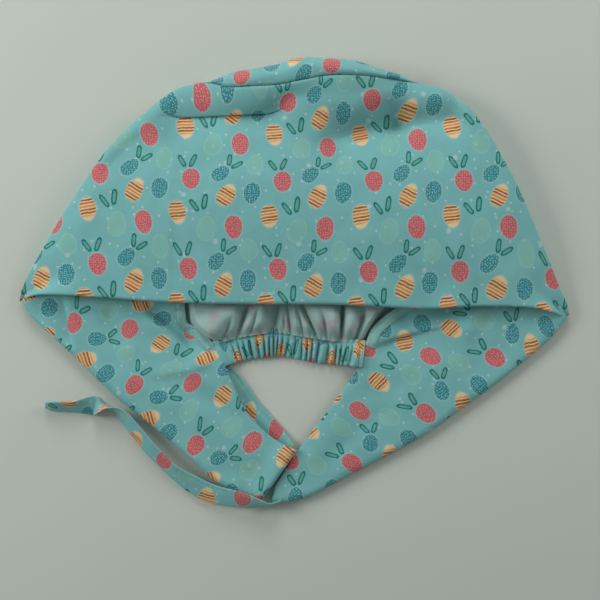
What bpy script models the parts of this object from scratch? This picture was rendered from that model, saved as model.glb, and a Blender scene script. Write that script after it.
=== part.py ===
"""Tie-back scrub cap of printed cotton, lying flat on a table with its front uppermost.

Metres, +Z up, the table at Z = 0. +X is the wearer's left-hand tip as the cap lies, and +Y runs from
the face opening to the top of the crown. The cap is a set of cloth sheets: each one is a grid stretched
between four border curves, raised by the height functions of its piece and thickened to one cloth.

Across shares are of half FRONT_WIDTH. Along shares are of CROWN_RISE above the front edge's line
(positive) and of TIE_DROP below it (negative).
"""

import bpy
import numpy as np

# Driving sizes
FRONT_WIDTH = 0.300  # between the two side tips
CROWN_RISE = 0.133  # front edge line to the top of the crown
TIE_DROP = 0.113  # front edge line to the lowest edge of the tie
PUFF = 0.023  # top of the front panel above the table
EDGE_LIFT = 0.0125  # the front edge above the table, halfway along
SEAM_HEIGHT = 0.0135  # the crown seam above the table, halfway along
CROWN_TURN = 0.006  # how far in from the top of the cap the back panel starts to turn under
DENT_FADE = 0.0042  # the front panel's dents fade out this close to its border
CLOTH = 0.001  # one layer of cotton
GAP = 0.0003  # between two sheets that touch
FACING_INSET = 0.006  # the facings stop this far inside the side fold
CASING_DEPTH = 0.0125  # the elastic casing, from its stitching to its free edge
CASING_HEIGHT = 0.0042  # the casing's ruffles, from the table up
RUFFLE_DEPTH = 0.0018  # valley to ridge of a ruffle
RUFFLES = 15  # pleats that the elastic draws the casing into
GATHER_HEIGHT = 0.0050  # the back panel's folds where they leave the casing
GATHER_REACH = 0.030  # how far up the back panel they fade out
TIE_WIDTH = 0.0105
TIE_CLOTH = 0.0012  # a tie is sewn of folded cloth
SEAM_GAP = 1.5 * GAP  # between the back panel's sides and the side bands, measured across
RAMP = 0.014  # a sheet comes down from what it lies over within this distance

LAYER = CLOTH + GAP
REST_ON_SHEET = LAYER + 0.3 * CLOTH  # lowest middle of a sheet's edge that stands on a flat sheet

# Outline of the crown from the left tip to where the crown seam dives under it, and from there on
LEFT_FOLD = (  # across, along
    (-1.000, 0.020),
    (-0.963, 0.130),
    (-0.875, 0.300),
    (-0.787, 0.460),
    (-0.700, 0.600),
    (-0.610, 0.715),
    (-0.523, 0.805),
    (-0.435, 0.876),
    (-0.350, 0.903),
)
CROWN_TOP = (  # across, along
    (-0.332, 0.922),
    (-0.244, 0.943),
    (-0.170, 0.956),
    (-0.083, 0.980),
    (0.005, 1.000),
    (0.150, 1.000),
    (0.314, 0.962),
    (0.446, 0.921),
    (0.538, 0.900),
)
RIGHT_FOLD = (  # across, along
    (0.552, 0.872),
    (0.644, 0.793),
    (0.732, 0.640),
    (0.820, 0.455),
    (0.900, 0.248),
    (0.960, 0.062),
    (1.000, -0.068),
)
# Seam between front panel and back panel, seen from above; lift is a share of SEAM_HEIGHT
CROWN_SEAM = (  # across, along, lift
    (-0.317, 0.893, 0.35),
    (-0.244, 0.884, 0.85),
    (-0.141, 0.888, 1.00),
    (-0.060, 0.894, 1.00),
    (0.020, 0.911, 1.00),
    (0.130, 0.930, 1.00),
    (0.248, 0.934, 0.95),
    (0.347, 0.917, 0.85),
    (0.428, 0.897, 0.65),
    (0.515, 0.866, 0.35),
)
FRONT_EDGE = (  # across, along
    (-0.990, 0.004),
    (-0.860, 0.020),
    (-0.677, 0.012),
    (-0.530, -0.003),
    (-0.273, -0.007),
    (0.020, -0.010),
    (0.314, -0.015),
    (0.479, -0.036),
    (0.644, -0.022),
    (0.828, -0.019),
    (0.930, -0.041),
    (0.988, -0.078),
)
# The front panel is highest this share of the way from its front edge to its upper border
PEAK_AT = 0.42
# Heights of the front panel's sections; edge is a share of EDGE_LIFT, crown of PUFF
FRONT_SECTIONS = (  # across, edge, crown
    (-1.00, 0.22, 0.12),
    (-0.90, 0.50, 0.30),
    (-0.75, 0.72, 0.56),
    (-0.50, 0.86, 0.88),
    (-0.25, 0.96, 0.99),
    (0.00, 1.00, 1.00),
    (0.25, 0.95, 1.00),
    (0.50, 0.72, 0.90),
    (0.75, 0.56, 0.60),
    (0.90, 0.46, 0.32),
    (1.00, 0.22, 0.12),
)
# Dents and soft ridges of the front panel; depth is a share of PUFF, breadth of FRONT_WIDTH
FRONT_DENTS = (  # from across, from along, to across, to along, depth, breadth
    (-0.40, 0.770, -0.07, 0.780, 0.14, 0.014),
    (-0.36, 0.835, -0.10, 0.830, -0.05, 0.016),
    (0.13, 0.660, 0.33, 0.850, 0.09, 0.030),
    (0.42, 0.830, 0.54, 0.760, 0.06, 0.024),
    (-0.45, 0.300, -0.42, 0.020, 0.04, 0.022),
)
# Rim of the cap behind the tips, which is also the outer edge of each side band
LEFT_RIM = (  # across, along
    (-1.000, 0.000),
    (-0.963, -0.087),
    (-0.894, -0.170),
    (-0.798, -0.290),
    (-0.655, -0.460),
    (-0.486, -0.636),
    (-0.339, -0.803),
    (-0.215, -0.898),
    (-0.119, -0.947),
)
RIGHT_RIM = (  # across, along
    (1.000, -0.087),
    (0.949, -0.175),
    (0.886, -0.248),
    (0.754, -0.393),
    (0.622, -0.519),
    (0.490, -0.645),
    (0.358, -0.743),
    (0.226, -0.835),
    (0.138, -0.898),
    (0.050, -0.956),
    (-0.035, -0.985),
    (-0.090, -0.990),
)
# Underside seam down to the casing's end, then the edge of the nape opening
LEFT_INNER = (  # across, along
    (-0.350, 0.903),
    (-0.398, 0.710),
    (-0.435, 0.463),
    (-0.435, 0.215),
    (-0.413, 0.008),
    (-0.383, -0.126),
    (-0.300, -0.220),
    (-0.262, -0.300),
    (-0.235, -0.383),
    (-0.178, -0.544),
    (-0.123, -0.626),
    (-0.068, -0.684),
    (0.009, -0.733),
)
RIGHT_INNER = (  # across, along
    (0.552, 0.872),
    (0.578, 0.669),
    (0.570, 0.421),
    (0.490, 0.174),
    (0.369, -0.010),
    (0.295, -0.126),
    (0.262, -0.218),
    (0.229, -0.340),
    (0.167, -0.456),
    (0.101, -0.578),
    (0.020, -0.723),
    (-0.042, -0.845),
    (-0.078, -0.925),
)
# Where along those inner lines the back panel ends and the casing begins, as shares of their points
INNER_AT_CASING = 6
# Hidden upper edge of each facing
LEFT_FACING_TOP = (  # across, along
    (-0.800, 0.330),
    (-0.640, 0.200),
    (-0.520, 0.080),
    (-0.413, -0.060),
    (-0.383, -0.126),
    (-0.300, -0.220),
    (-0.262, -0.300),
    (-0.235, -0.383),
    (-0.178, -0.544),
    (-0.123, -0.626),
    (-0.068, -0.684),
    (0.009, -0.733),
)
RIGHT_FACING_TOP = (  # across, along
    (0.830, 0.250),
    (0.700, 0.160),
    (0.560, 0.070),
    (0.400, -0.020),
    (0.295, -0.126),
    (0.262, -0.218),
    (0.229, -0.340),
    (0.167, -0.456),
    (0.101, -0.578),
    (0.020, -0.723),
    (-0.042, -0.845),
    (-0.078, -0.925),
)
CASING_LINE = (  # across, along: the stitching between back panel and casing, without its two ends
    (-0.220, -0.190),
    (-0.150, -0.172),
    (-0.080, -0.160),
    (-0.037, -0.164),
    (0.005, -0.174),
    (0.070, -0.188),
    (0.135, -0.200),
    (0.190, -0.206),
)
# Section of the casing; across is a share of CASING_DEPTH from its stitching, up of its height there
CASING_SECTION = (  # across, up
    (0.00, 0.25),
    (0.06, 0.80),
    (0.30, 1.00),
    (0.70, 1.00),
    (0.94, 0.80),
    (1.00, 0.30),
    (0.85, 0.00),
    (0.15, 0.00),
)
# Folds of the back panel where the elastic gathers it; height is a share of GATHER_HEIGHT, breadth of
# the casing's length, lean is how far the fold's top end moves across, as a share of that length
GATHERS = (  # at, height, breadth, lean, reach
    (0.08, 0.80, 0.055, -0.22, 0.8),
    (0.20, 1.00, 0.050, -0.16, 1.2),
    (0.31, 0.75, 0.045, -0.05, 0.9),
    (0.42, 0.95, 0.045, -0.04, 1.4),
    (0.53, 0.80, 0.040, 0.02, 1.0),
    (0.63, 1.00, 0.050, 0.06, 1.6),
    (0.74, 0.80, 0.045, 0.08, 0.9),
    (0.84, 1.00, 0.045, 0.10, 1.8),
    (0.94, 0.70, 0.050, 0.20, 0.8),
)
# Left tie, folded back under the end of its band: its edge at the opening and its hidden edge
LEFT_TIE_OPEN_EDGE = (  # across, along
    (0.006, -0.726),
    (-0.039, -0.636),
    (-0.088, -0.563),
    (-0.138, -0.485),
    (-0.174, -0.413),
    (-0.222, -0.340),
    (-0.268, -0.300),
)
LEFT_TIE_HIDDEN_EDGE = (  # across, along
    (-0.105, -0.925),
    (-0.119, -0.777),
    (-0.163, -0.660),
    (-0.200, -0.573),
    (-0.240, -0.495),
    (-0.281, -0.422),
    (-0.328, -0.366),
)
# Right tie: the free tail. lean turns the ribbon about its length, in degrees; 90 stands it on edge
RIGHT_TIE = (  # across, along, width, lean
    (-0.099, -0.976, 0.62, 48.0),
    (-0.145, -0.990, 0.80, 46.0),
    (-0.200, -0.980, 0.95, 36.0),
    (-0.292, -0.934, 1.00, 28.0),
    (-0.361, -0.890, 1.00, 26.0),
    (-0.435, -0.824, 0.98, 30.0),
    (-0.508, -0.738, 0.95, 30.0),
    (-0.574, -0.646, 0.92, 12.0),
    (-0.626, -0.560, 0.85, -20.0),
    (-0.666, -0.512, 0.75, -58.0),
    (-0.705, -0.500, 0.62, -92.0),
    (-0.755, -0.505, 0.70, -128.0),
    (-0.838, -0.510, 0.78, -160.0),
    (-0.900, -0.504, 0.66, -172.0),
    (-0.930, -0.498, 0.34, -176.0),
)


def plan(table):
    """Rows of shares as points in the plan, in metres; further columns stay as they are."""
    rows = np.array(table, float)
    rows[:, 0] *= FRONT_WIDTH / 2
    rows[:, 1] *= np.where(rows[:, 1] > 0, CROWN_RISE, TIE_DROP)
    return rows


def trace(knots, count, steps=16):
    """Points evenly spaced along a smooth curve through the knots."""
    ends = np.vstack([2 * knots[0] - knots[1], knots, 2 * knots[-1] - knots[-2]])
    p0, p1, p2, p3 = (ends[k : k + len(knots) - 1, None] for k in range(4))
    t = np.linspace(0, 1, steps, endpoint=False)[None, :, None]
    spans = p1 + 0.5 * t * (
        p2 - p0 + t * (2 * p0 - 5 * p1 + 4 * p2 - p3 + t * (3 * (p1 - p2) + p3 - p0))
    )
    fine = np.vstack([spans.reshape(-1, knots.shape[1]), knots[-1]])
    walked = np.append(0, np.cumsum(np.linalg.norm(np.diff(fine[:, :2], axis=0), axis=1)))
    wanted = np.linspace(0, walked[-1], count)
    return np.column_stack([np.interp(wanted, walked, column) for column in fine.T])


def ramp(share):
    """0 up to share 0, 1 from share 1 on, and smooth between."""
    share = np.clip(share, 0, 1)
    return share * share * (3 - 2 * share)


def patch(start, end, first, last, rows=None):
    """Grid between four borders: start and end run along it, first and last across it."""
    count = len(first)
    v = (np.linspace(0, 1, count) if rows is None else np.asarray(rows))[None, :, None]
    u = np.linspace(0, 1, len(start))[:, None, None]
    along = (1 - v) * start[:, None] + v * end[:, None]
    across = (1 - u) * first[None] + u * last[None]
    corners = (1 - u) * ((1 - v) * first[0] + v * first[-1]) + u * (
        (1 - v) * last[0] + v * last[-1]
    )
    return along + across - corners


def straight(a, b, shares):
    """Points on the line from a to b."""
    return a + (b - a) * np.asarray(shares, float)[:, None]


def height_over(points, spine, half_width, height):
    """What a sheet rises by to pass over another that lies along a spine."""
    away = np.linalg.norm(points[..., None, :2] - spine[:, :2], axis=-1) - half_width
    return height * ramp(1 - away.min(axis=-1) / RAMP)


def cloth_material(name, colour, roughness=0.9):
    """Plain stand-in colour for one kind of cloth."""
    material = bpy.data.materials.new(name)
    material.use_nodes = True
    shader = material.node_tree.nodes["Principled BSDF"]
    shader.inputs["Base Color"].default_value = (*colour, 1)
    shader.inputs["Roughness"].default_value = roughness
    shader.inputs["Metallic"].default_value = 0
    return material


def add_object(name, points, faces, material, collection):
    """Mesh object of one material from points and faces, shaded smooth."""
    mesh = bpy.data.meshes.new(name)
    mesh.from_pydata(points.tolist(), [], faces)
    mesh.materials.append(material)
    mesh.shade_smooth()
    obj = bpy.data.objects.new(name, mesh)
    collection.objects.link(obj)
    return obj


def add_sheet(name, grid, thickness, material, collection):
    """A cloth sheet: an open grid of points, thickened evenly to both sides."""
    columns, rows = grid.shape[:2]
    index = np.arange(columns * rows).reshape(columns, rows)
    corners = (index[:-1, :-1], index[1:, :-1], index[1:, 1:], index[:-1, 1:])
    faces = np.stack(corners, axis=-1).reshape(-1, 4).tolist()
    obj = add_object(name, grid.reshape(-1, 3), faces, material, collection)
    wall = obj.modifiers.new("cloth", "SOLIDIFY")
    wall.thickness = thickness
    wall.offset = 0
    return obj


def front_panel_grid(columns=38, rows=18):
    """Crown's front: from the front edge up to the crown seam, and down to the side folds."""
    low = REST_ON_SHEET / SEAM_HEIGHT
    left = [(*row, low) for row in LEFT_FOLD]
    right = [(*row, low) for row in RIGHT_FOLD]
    top = trace(plan([*left, *CROWN_SEAM, *right]), columns)
    front = trace(plan(FRONT_EDGE), columns)
    # The rows stand closer together where the panel turns down
    shares = 1 - (1 - np.linspace(0, 1, rows)) ** 1.6
    grid = patch(
        front,
        top[:, :2],
        straight(front[0], top[0, :2], shares),
        straight(front[-1], top[-1, :2], shares),
        shares,
    )
    sections = np.array(FRONT_SECTIONS)
    station = np.linspace(-1, 1, columns)
    edge = np.interp(station, sections[:, 0], sections[:, 1]) * EDGE_LIFT
    crown = np.interp(station, sections[:, 0], sections[:, 2]) * PUFF
    end = np.maximum(top[:, 2] * SEAM_HEIGHT, REST_ON_SHEET)
    height = front_heights(shares, edge, crown, end)
    height -= front_dents(grid) * ramp((height - end[:, None]) / DENT_FADE)
    return np.dstack([grid, height])


def front_heights(shares, edge, crown, end):
    """Heights of the front panel's sections: a rise from the front edge, then a rounded fall."""
    rise = np.sin(np.pi / 2 * np.clip(shares / PEAK_AT, 0, 1))
    fallen = np.clip((shares - PEAK_AT) / (1 - PEAK_AT), 0, 1)
    # The fall is steep where the panel folds under and gentle where it meets the crown seam
    steep = 0.5 + 0.35 * ramp((end - REST_ON_SHEET) / (SEAM_HEIGHT - REST_ON_SHEET))
    fall = (1 - fallen[None] ** 2.4) ** steep[:, None]
    before = edge[:, None] + (crown - edge)[:, None] * rise
    after = end[:, None] + (crown - end)[:, None] * fall
    return np.where(shares < PEAK_AT, before, after)


def front_dents(grid):
    """How far the front panel sinks, or rises where negative, at each point of its plan."""
    sunk = np.zeros(grid.shape[:2])
    for row in FRONT_DENTS:
        a, b = plan([row[:2], row[2:4]])
        depth, breadth = row[4] * PUFF, row[5] * FRONT_WIDTH
        share = np.clip(((grid - a) @ (b - a)) / ((b - a) @ (b - a)), 0, 1)
        away = np.linalg.norm(grid - (a + share[..., None] * (b - a)), axis=-1)
        sunk += depth * np.exp(-((away / breadth) ** 2))
    return sunk


def inner_line(inner, above=14, below=13):
    """A side band's inner line: points down to the casing's end, and from there on."""
    knots = plan(inner)
    seam = trace(knots[: INNER_AT_CASING + 1], above)
    return seam, trace(knots[INNER_AT_CASING:], below)


def back_panel_side(inner):
    """Side border of the back panel: a small gap away from the side band's inner line."""
    seam = inner_line(inner)[0]
    seam[:, 0] -= np.sign(seam[:, 0]) * SEAM_GAP
    return seam


def casing_line(count):
    """The stitching that joins the back panel to the elastic casing, from side to side."""
    left, right = back_panel_side(LEFT_INNER)[-1], back_panel_side(RIGHT_INNER)[-1]
    return trace(np.vstack([left, plan(CASING_LINE), right]), count)


def back_panel_grid(columns=46):
    """Back of the crown: from the crown seam over the top, and along the table to the casing."""
    seam = trace(plan(CROWN_SEAM), columns)
    top = trace(plan(CROWN_TOP), columns)
    along_top = np.gradient(top, axis=0)
    outward = np.column_stack([-along_top[:, 1], along_top[:, 0]])
    outward /= np.linalg.norm(outward, axis=1)[:, None]
    height = seam[:, 2] * SEAM_HEIGHT
    start = seam[:, :2] + outward * (CLOTH + 3 * GAP)
    away = ((top - start) * outward).sum(axis=1)
    # The turn is rounder where the seam lies further in from the top
    reach = np.clip(0.75 * away, CLOTH / 2, CROWN_TURN)[:, None]
    left, right = back_panel_side(LEFT_INNER), back_panel_side(RIGHT_INNER)
    under = top - outward * reach * 1.3
    under[0], under[-1] = left[0], right[0]
    flat = patch(under, casing_line(columns), left, right)
    flat = np.dstack([flat, CLOTH / 2 + gathers(flat)])
    return np.concatenate([back_roll(start, top, outward, reach, height), flat], axis=1)


def back_roll(start, top, outward, reach, height):
    """Rows of the back panel from the crown seam, over the top of the cap and down to the table."""
    middle = (height + CLOTH / 2) / 2
    rows = [np.column_stack([start, height - CLOTH / 4])]
    for angle in np.radians([-90, -55, -20, 15, 50, 80]):
        place = top - outward * reach * (1 - np.cos(angle))
        rows.append(np.column_stack([place, middle - (middle - CLOTH / 2) * np.sin(angle)]))
    return np.stack(rows, axis=1)


def gathers(flat):
    """Height of the back panel's folds, highest where they leave the casing."""
    casing = flat[:, -1]
    length = np.linalg.norm(np.diff(casing, axis=0), axis=1).sum()
    along = np.linspace(0, 1, len(flat))[:, None]
    away = np.linalg.norm(flat - casing[:, None], axis=-1)
    height = np.zeros(flat.shape[:2])
    for at, tall, breadth, lean, reach in GATHERS:
        fade = away / (GATHER_REACH * reach)
        middle = at + lean * np.clip(away / length, 0, 1)
        spread = breadth * (1 + 0.6 * fade)
        bump = np.exp(-(((along - middle) / spread) ** 2))
        height = np.maximum(height, tall * GATHER_HEIGHT * bump * np.exp(-(fade**2)))
    return height * ramp(np.minimum(along, 1 - along) / 0.05)


def right_footprint():
    """Spine and half width of the right band's end, for the sheets that lie over it."""
    rim, inner = trace(plan(RIGHT_RIM), 60), trace(plan(RIGHT_INNER[INNER_AT_CASING + 1 :]), 60)
    rim = rim[30:]
    inner = trace(inner, len(rim))
    return (rim + inner) / 2, np.linalg.norm(rim - inner, axis=1) / 2


def left_tie_footprint():
    """Spine and half width of the folded-back left tie."""
    open_edge, hidden = trace(plan(LEFT_TIE_OPEN_EDGE), 30), trace(plan(LEFT_TIE_HIDDEN_EDGE), 30)
    return (open_edge + hidden) / 2, np.linalg.norm(open_edge - hidden, axis=1) / 2


def left_heights(points):
    """Height that the left band gains over the folded tie and the right band's end."""
    over_right = height_over(points, *right_footprint(), 2 * LAYER)
    over_tie = height_over(points, *left_tie_footprint(), TIE_CLOTH + GAP)
    return over_right + over_tie


def side_band_grid(rim, inner, fold, rows=9):
    """A side of the cap, folded under the front panel, and the band that it tapers into."""
    end = np.vstack([inner_line(inner)[0], inner_line(inner)[1][1:]])
    start = trace(plan(rim), len(end))
    beside_fold = np.vstack([start[0], trace(plan(fold), rows)[1:-1], end[0]])
    grid = patch(start, end, beside_fold, straight(start[-1], end[-1], np.linspace(0, 1, rows)))
    return np.dstack([grid, np.full(grid.shape[:2], CLOTH / 2)])


def facing_grid(rim, top, columns=24, rows=6):
    """The layer that is turned back over a side band, printed side up."""
    inset = np.sign(rim[1][0]) * FACING_INSET / (FRONT_WIDTH / 2)
    rim = ((rim[1][0] - inset, rim[1][1]), *rim[2:])
    start, end = trace(plan(rim), columns), trace(plan(top), columns)
    shares = np.linspace(0, 1, rows)
    grid = patch(start, end, straight(start[0], end[0], shares), straight(start[-1], end[-1], shares))
    return np.dstack([grid, np.full(grid.shape[:2], CLOTH / 2 + LAYER + GAP / 3)])


def lifted(grid):
    """A sheet of the left side, raised where it passes over the folded tie and the right band."""
    return grid + np.dstack([np.zeros_like(grid[..., :2]), left_heights(grid)])


def left_tie_grid(columns=16, rows=4):
    """Ribbon that is folded under the end of the left band and runs back beneath it."""
    start, end = trace(plan(LEFT_TIE_OPEN_EDGE), columns), trace(plan(LEFT_TIE_HIDDEN_EDGE), columns)
    shares = np.linspace(0, 1, rows)
    grid = patch(start, end, straight(start[0], end[0], shares), straight(start[-1], end[-1], shares))
    height = TIE_CLOTH / 2 + height_over(grid, *right_footprint(), 2 * LAYER)
    return np.dstack([grid, height])


def right_tie_grid(columns=44, rows=4):
    """Free tail: a ribbon that leans and turns over as it runs out to the left."""
    route = trace(plan(RIGHT_TIE), columns)
    heading = np.gradient(route[:, :2], axis=0)
    heading /= np.linalg.norm(heading, axis=1)[:, None]
    sideways = np.column_stack([heading[:, 1], -heading[:, 0]])
    width, lean = route[:, 2] * TIE_WIDTH, np.radians(route[:, 3])
    middle = GAP / 3 + TIE_CLOTH / 2 * np.abs(np.cos(lean)) + width / 2 * np.abs(np.sin(lean))
    rows_at = np.linspace(-0.5, 0.5, rows)
    grid = np.empty((columns, rows, 3))
    for j, share in enumerate(rows_at):
        grid[:, j, :2] = route[:, :2] + sideways * (share * width * np.cos(lean))[:, None]
        grid[:, j, 2] = middle + share * width * np.sin(lean)
    return grid


def casing_points(sections_per_ruffle=4):
    """Closed rings round the elastic casing, one at every quarter of a ruffle."""
    count = RUFFLES * sections_per_ruffle + 1
    line = casing_line(count)
    heading = np.gradient(line, axis=0)
    heading /= np.linalg.norm(heading, axis=1)[:, None]
    down = np.column_stack([heading[:, 1], -heading[:, 0]])
    share = np.linspace(0, 1, count)
    wave = 0.5 - 0.5 * np.cos(2 * np.pi * RUFFLES * share)
    ends = ramp(np.minimum(share, 1 - share) / 0.06)
    top = CASING_HEIGHT - RUFFLE_DEPTH * wave * ends
    # Each end passes over the side band and its facing
    raised = (1 - ramp(np.minimum(share, 1 - share) / 0.10 - 0.7)) * (2 * LAYER + 2 * GAP)
    rings = []
    for across, up in CASING_SECTION:
        place = line + down * (2 * GAP + across * CASING_DEPTH)
        rings.append(np.column_stack([place, raised + left_heights(place) + up * top]))
    return np.stack(rings, axis=1)


def add_tube(name, rings, material, collection):
    """A closed solid through rings of points, with a flat face at each end."""
    count, sides = rings.shape[:2]
    index = np.arange(count * sides).reshape(count, sides)
    after = np.roll(index, -1, axis=1)
    corners = (index[:-1], after[:-1], after[1:], index[1:])
    faces = np.stack(corners, axis=-1).reshape(-1, 4).tolist()
    faces += [index[0][::-1].tolist(), index[-1].tolist()]
    return add_object(name, rings.reshape(-1, 3), faces, material, collection)


def build():
    for old in list(bpy.data.objects):
        bpy.data.objects.remove(old)
    collection = bpy.data.collections.new("scrub_cap")
    bpy.context.scene.collection.children.link(collection)
    printed = cloth_material("printed_cotton", (0.16, 0.42, 0.40))
    plain = cloth_material("cotton_wrong_side", (0.36, 0.45, 0.44))

    sheets = {
        "front_panel": (front_panel_grid(), CLOTH, printed),
        "back_panel": (back_panel_grid(), CLOTH, plain),
        "left_side_band": (lifted(side_band_grid(LEFT_RIM, LEFT_INNER, LEFT_FOLD)), CLOTH, printed),
        "right_side_band": (side_band_grid(RIGHT_RIM, RIGHT_INNER, RIGHT_FOLD[::-1]), CLOTH, printed),
        "left_facing": (lifted(facing_grid(LEFT_RIM, LEFT_FACING_TOP)), CLOTH, printed),
        "right_facing": (facing_grid(RIGHT_RIM, RIGHT_FACING_TOP), CLOTH, printed),
        "left_tie": (left_tie_grid(), TIE_CLOTH, printed),
        "right_tie": (right_tie_grid(), TIE_CLOTH, printed),
    }
    casing = casing_points()
    grids = [casing, *(grid for grid, _, _ in sheets.values())]
    everything = np.vstack([grid.reshape(-1, 3) for grid in grids])
    # The cap is centred on its footprint
    centre = (everything.min(axis=0) + everything.max(axis=0)) / 2 * (1, 1, 0)
    for name, (grid, thickness, material) in sheets.items():
        add_sheet(name, grid - centre, thickness, material, collection)
    add_tube("elastic_casing", casing - centre, printed, collection)


build()
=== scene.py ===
import bpy
import numpy as np
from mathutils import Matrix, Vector
from mathutils.bvhtree import BVHTree


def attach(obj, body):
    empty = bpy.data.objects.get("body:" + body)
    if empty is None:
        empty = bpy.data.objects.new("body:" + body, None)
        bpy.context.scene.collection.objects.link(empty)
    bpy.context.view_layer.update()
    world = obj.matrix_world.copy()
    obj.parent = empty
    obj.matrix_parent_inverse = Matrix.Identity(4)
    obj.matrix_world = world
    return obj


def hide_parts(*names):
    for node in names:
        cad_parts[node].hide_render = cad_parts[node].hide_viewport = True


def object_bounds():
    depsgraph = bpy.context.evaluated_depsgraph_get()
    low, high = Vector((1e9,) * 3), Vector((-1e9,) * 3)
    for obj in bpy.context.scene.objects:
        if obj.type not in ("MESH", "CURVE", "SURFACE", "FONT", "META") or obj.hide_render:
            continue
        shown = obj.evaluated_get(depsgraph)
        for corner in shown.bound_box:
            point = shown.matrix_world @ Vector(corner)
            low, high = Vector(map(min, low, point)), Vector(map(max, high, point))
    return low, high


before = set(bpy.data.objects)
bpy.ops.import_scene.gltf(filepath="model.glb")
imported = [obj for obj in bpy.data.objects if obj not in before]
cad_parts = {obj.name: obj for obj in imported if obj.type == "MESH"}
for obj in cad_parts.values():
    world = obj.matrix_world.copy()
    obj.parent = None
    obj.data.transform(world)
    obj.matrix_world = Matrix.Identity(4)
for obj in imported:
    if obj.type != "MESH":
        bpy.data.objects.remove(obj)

cad_low, cad_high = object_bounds()

# The table is a smooth pale board. The camera hangs straight above it, and soft lights stand
# low at its left, its right and its far side.
MM = 0.001
PHOTO_SPAN = 330 * MM  # width that the picture takes in
SPAN_LEVEL = 6 * MM  # height above the table at which it is that wide
PHOTO_MIDDLE = (3.0 * MM, -8.8 * MM)
LENS = 110
SENSOR = 36
LIT_POINT = Vector((0, 0.02, 0))
LIGHTS = (  # name, place, width, watts, tint
    ("left_light", (-0.84, 0.20, 0.50), 0.40, 4.2, (1.0, 0.99, 0.97)),
    ("right_light", (0.80, 0.50, 0.50), 0.45, 2.5, (1.0, 1.0, 0.98)),
    ("far_light", (-0.05, 0.85, 0.54), 0.45, 3.1, (1.0, 1.0, 0.98)),
)
ROOM_TINT = (0.93, 1.0, 0.97, 1)
ROOM_LIGHT = 0.26

camera_data = bpy.data.cameras.new("camera")
camera_data.lens = LENS
camera_data.sensor_width = SENSOR
camera = bpy.data.objects.new("camera", camera_data)
camera.location = (*PHOTO_MIDDLE, PHOTO_SPAN * LENS / SENSOR + SPAN_LEVEL)
bpy.context.scene.collection.objects.link(camera)
bpy.context.scene.camera = camera
bpy.context.scene.view_settings.view_transform = "Standard"

for name, place, width, watts, tint in LIGHTS:
    light_data = bpy.data.lights.new(name, "AREA")
    light_data.size = width
    light_data.energy = watts
    light_data.color = tint
    light = bpy.data.objects.new(name, light_data)
    light.location = place
    light.rotation_euler = (LIT_POINT - Vector(place)).to_track_quat("-Z", "Y").to_euler()
    bpy.context.scene.collection.objects.link(light)

room = bpy.data.worlds.new("room")
room.use_nodes = True
room.node_tree.nodes["Background"].inputs["Color"].default_value = ROOM_TINT
room.node_tree.nodes["Background"].inputs["Strength"].default_value = ROOM_LIGHT
bpy.context.scene.world = room


def linear(red, green, blue):
    """A colour seen on a screen, 0 to 255, as the amount of light that the surface gives back."""
    shares = np.array([red, green, blue]) / 255
    return (*np.where(shares < 0.04045, shares / 12.92, ((shares + 0.055) / 1.055) ** 2.4), 1)


def add_node(tree, kind, *inputs, out=0, **settings):
    """A shader node: its settings are set by name, its inputs wired or set in order."""
    made = tree.nodes.new("ShaderNode" + kind)
    for name, value in settings.items():
        setattr(made, name, value)
    sockets = [socket for socket in made.inputs if socket.enabled]
    for socket, value in zip(sockets, inputs):
        if isinstance(value, bpy.types.NodeSocket):
            tree.links.new(value, socket)
        elif value is not None:
            socket.default_value = value
    return [socket for socket in made.outputs if socket.enabled][out]


def new_material(name, roughness, sheen=0.0):
    """A cloth-like material, and its tree and shader."""
    material = bpy.data.materials.new(name)
    material.use_nodes = True
    shader = material.node_tree.nodes["Principled BSDF"]
    shader.inputs["Roughness"].default_value = roughness
    shader.inputs["Sheen Weight"].default_value = sheen
    shader.inputs["Sheen Roughness"].default_value = 0.45
    shader.inputs["Specular IOR Level"].default_value = 0.25
    return material, material.node_tree, shader


def board_material():
    """Pale grey-green matt board, very slightly mottled."""
    material, tree, shader = new_material("table_board", 0.75)
    place = add_node(tree, "TexCoord", out=3)
    cloudy = add_node(tree, "TexNoise", place, 5.0, 3.0, 0.55)
    fine = add_node(tree, "TexNoise", place, 900.0, 2.0, 0.6)
    colour = add_node(
        tree, "Mix", cloudy, linear(196, 203, 195), linear(203, 209, 202), data_type="RGBA"
    )
    tree.links.new(colour, shader.inputs["Base Color"])
    bump = add_node(tree, "Bump", 0.08, 0.0002, 1.0, fine)
    tree.links.new(bump, shader.inputs["Normal"])
    return material


bpy.ops.mesh.primitive_plane_add(size=6, location=(0, 0, cad_low[2]))
board = bpy.context.object
board.name = "table_board"
board.data.materials.append(board_material())

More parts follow.
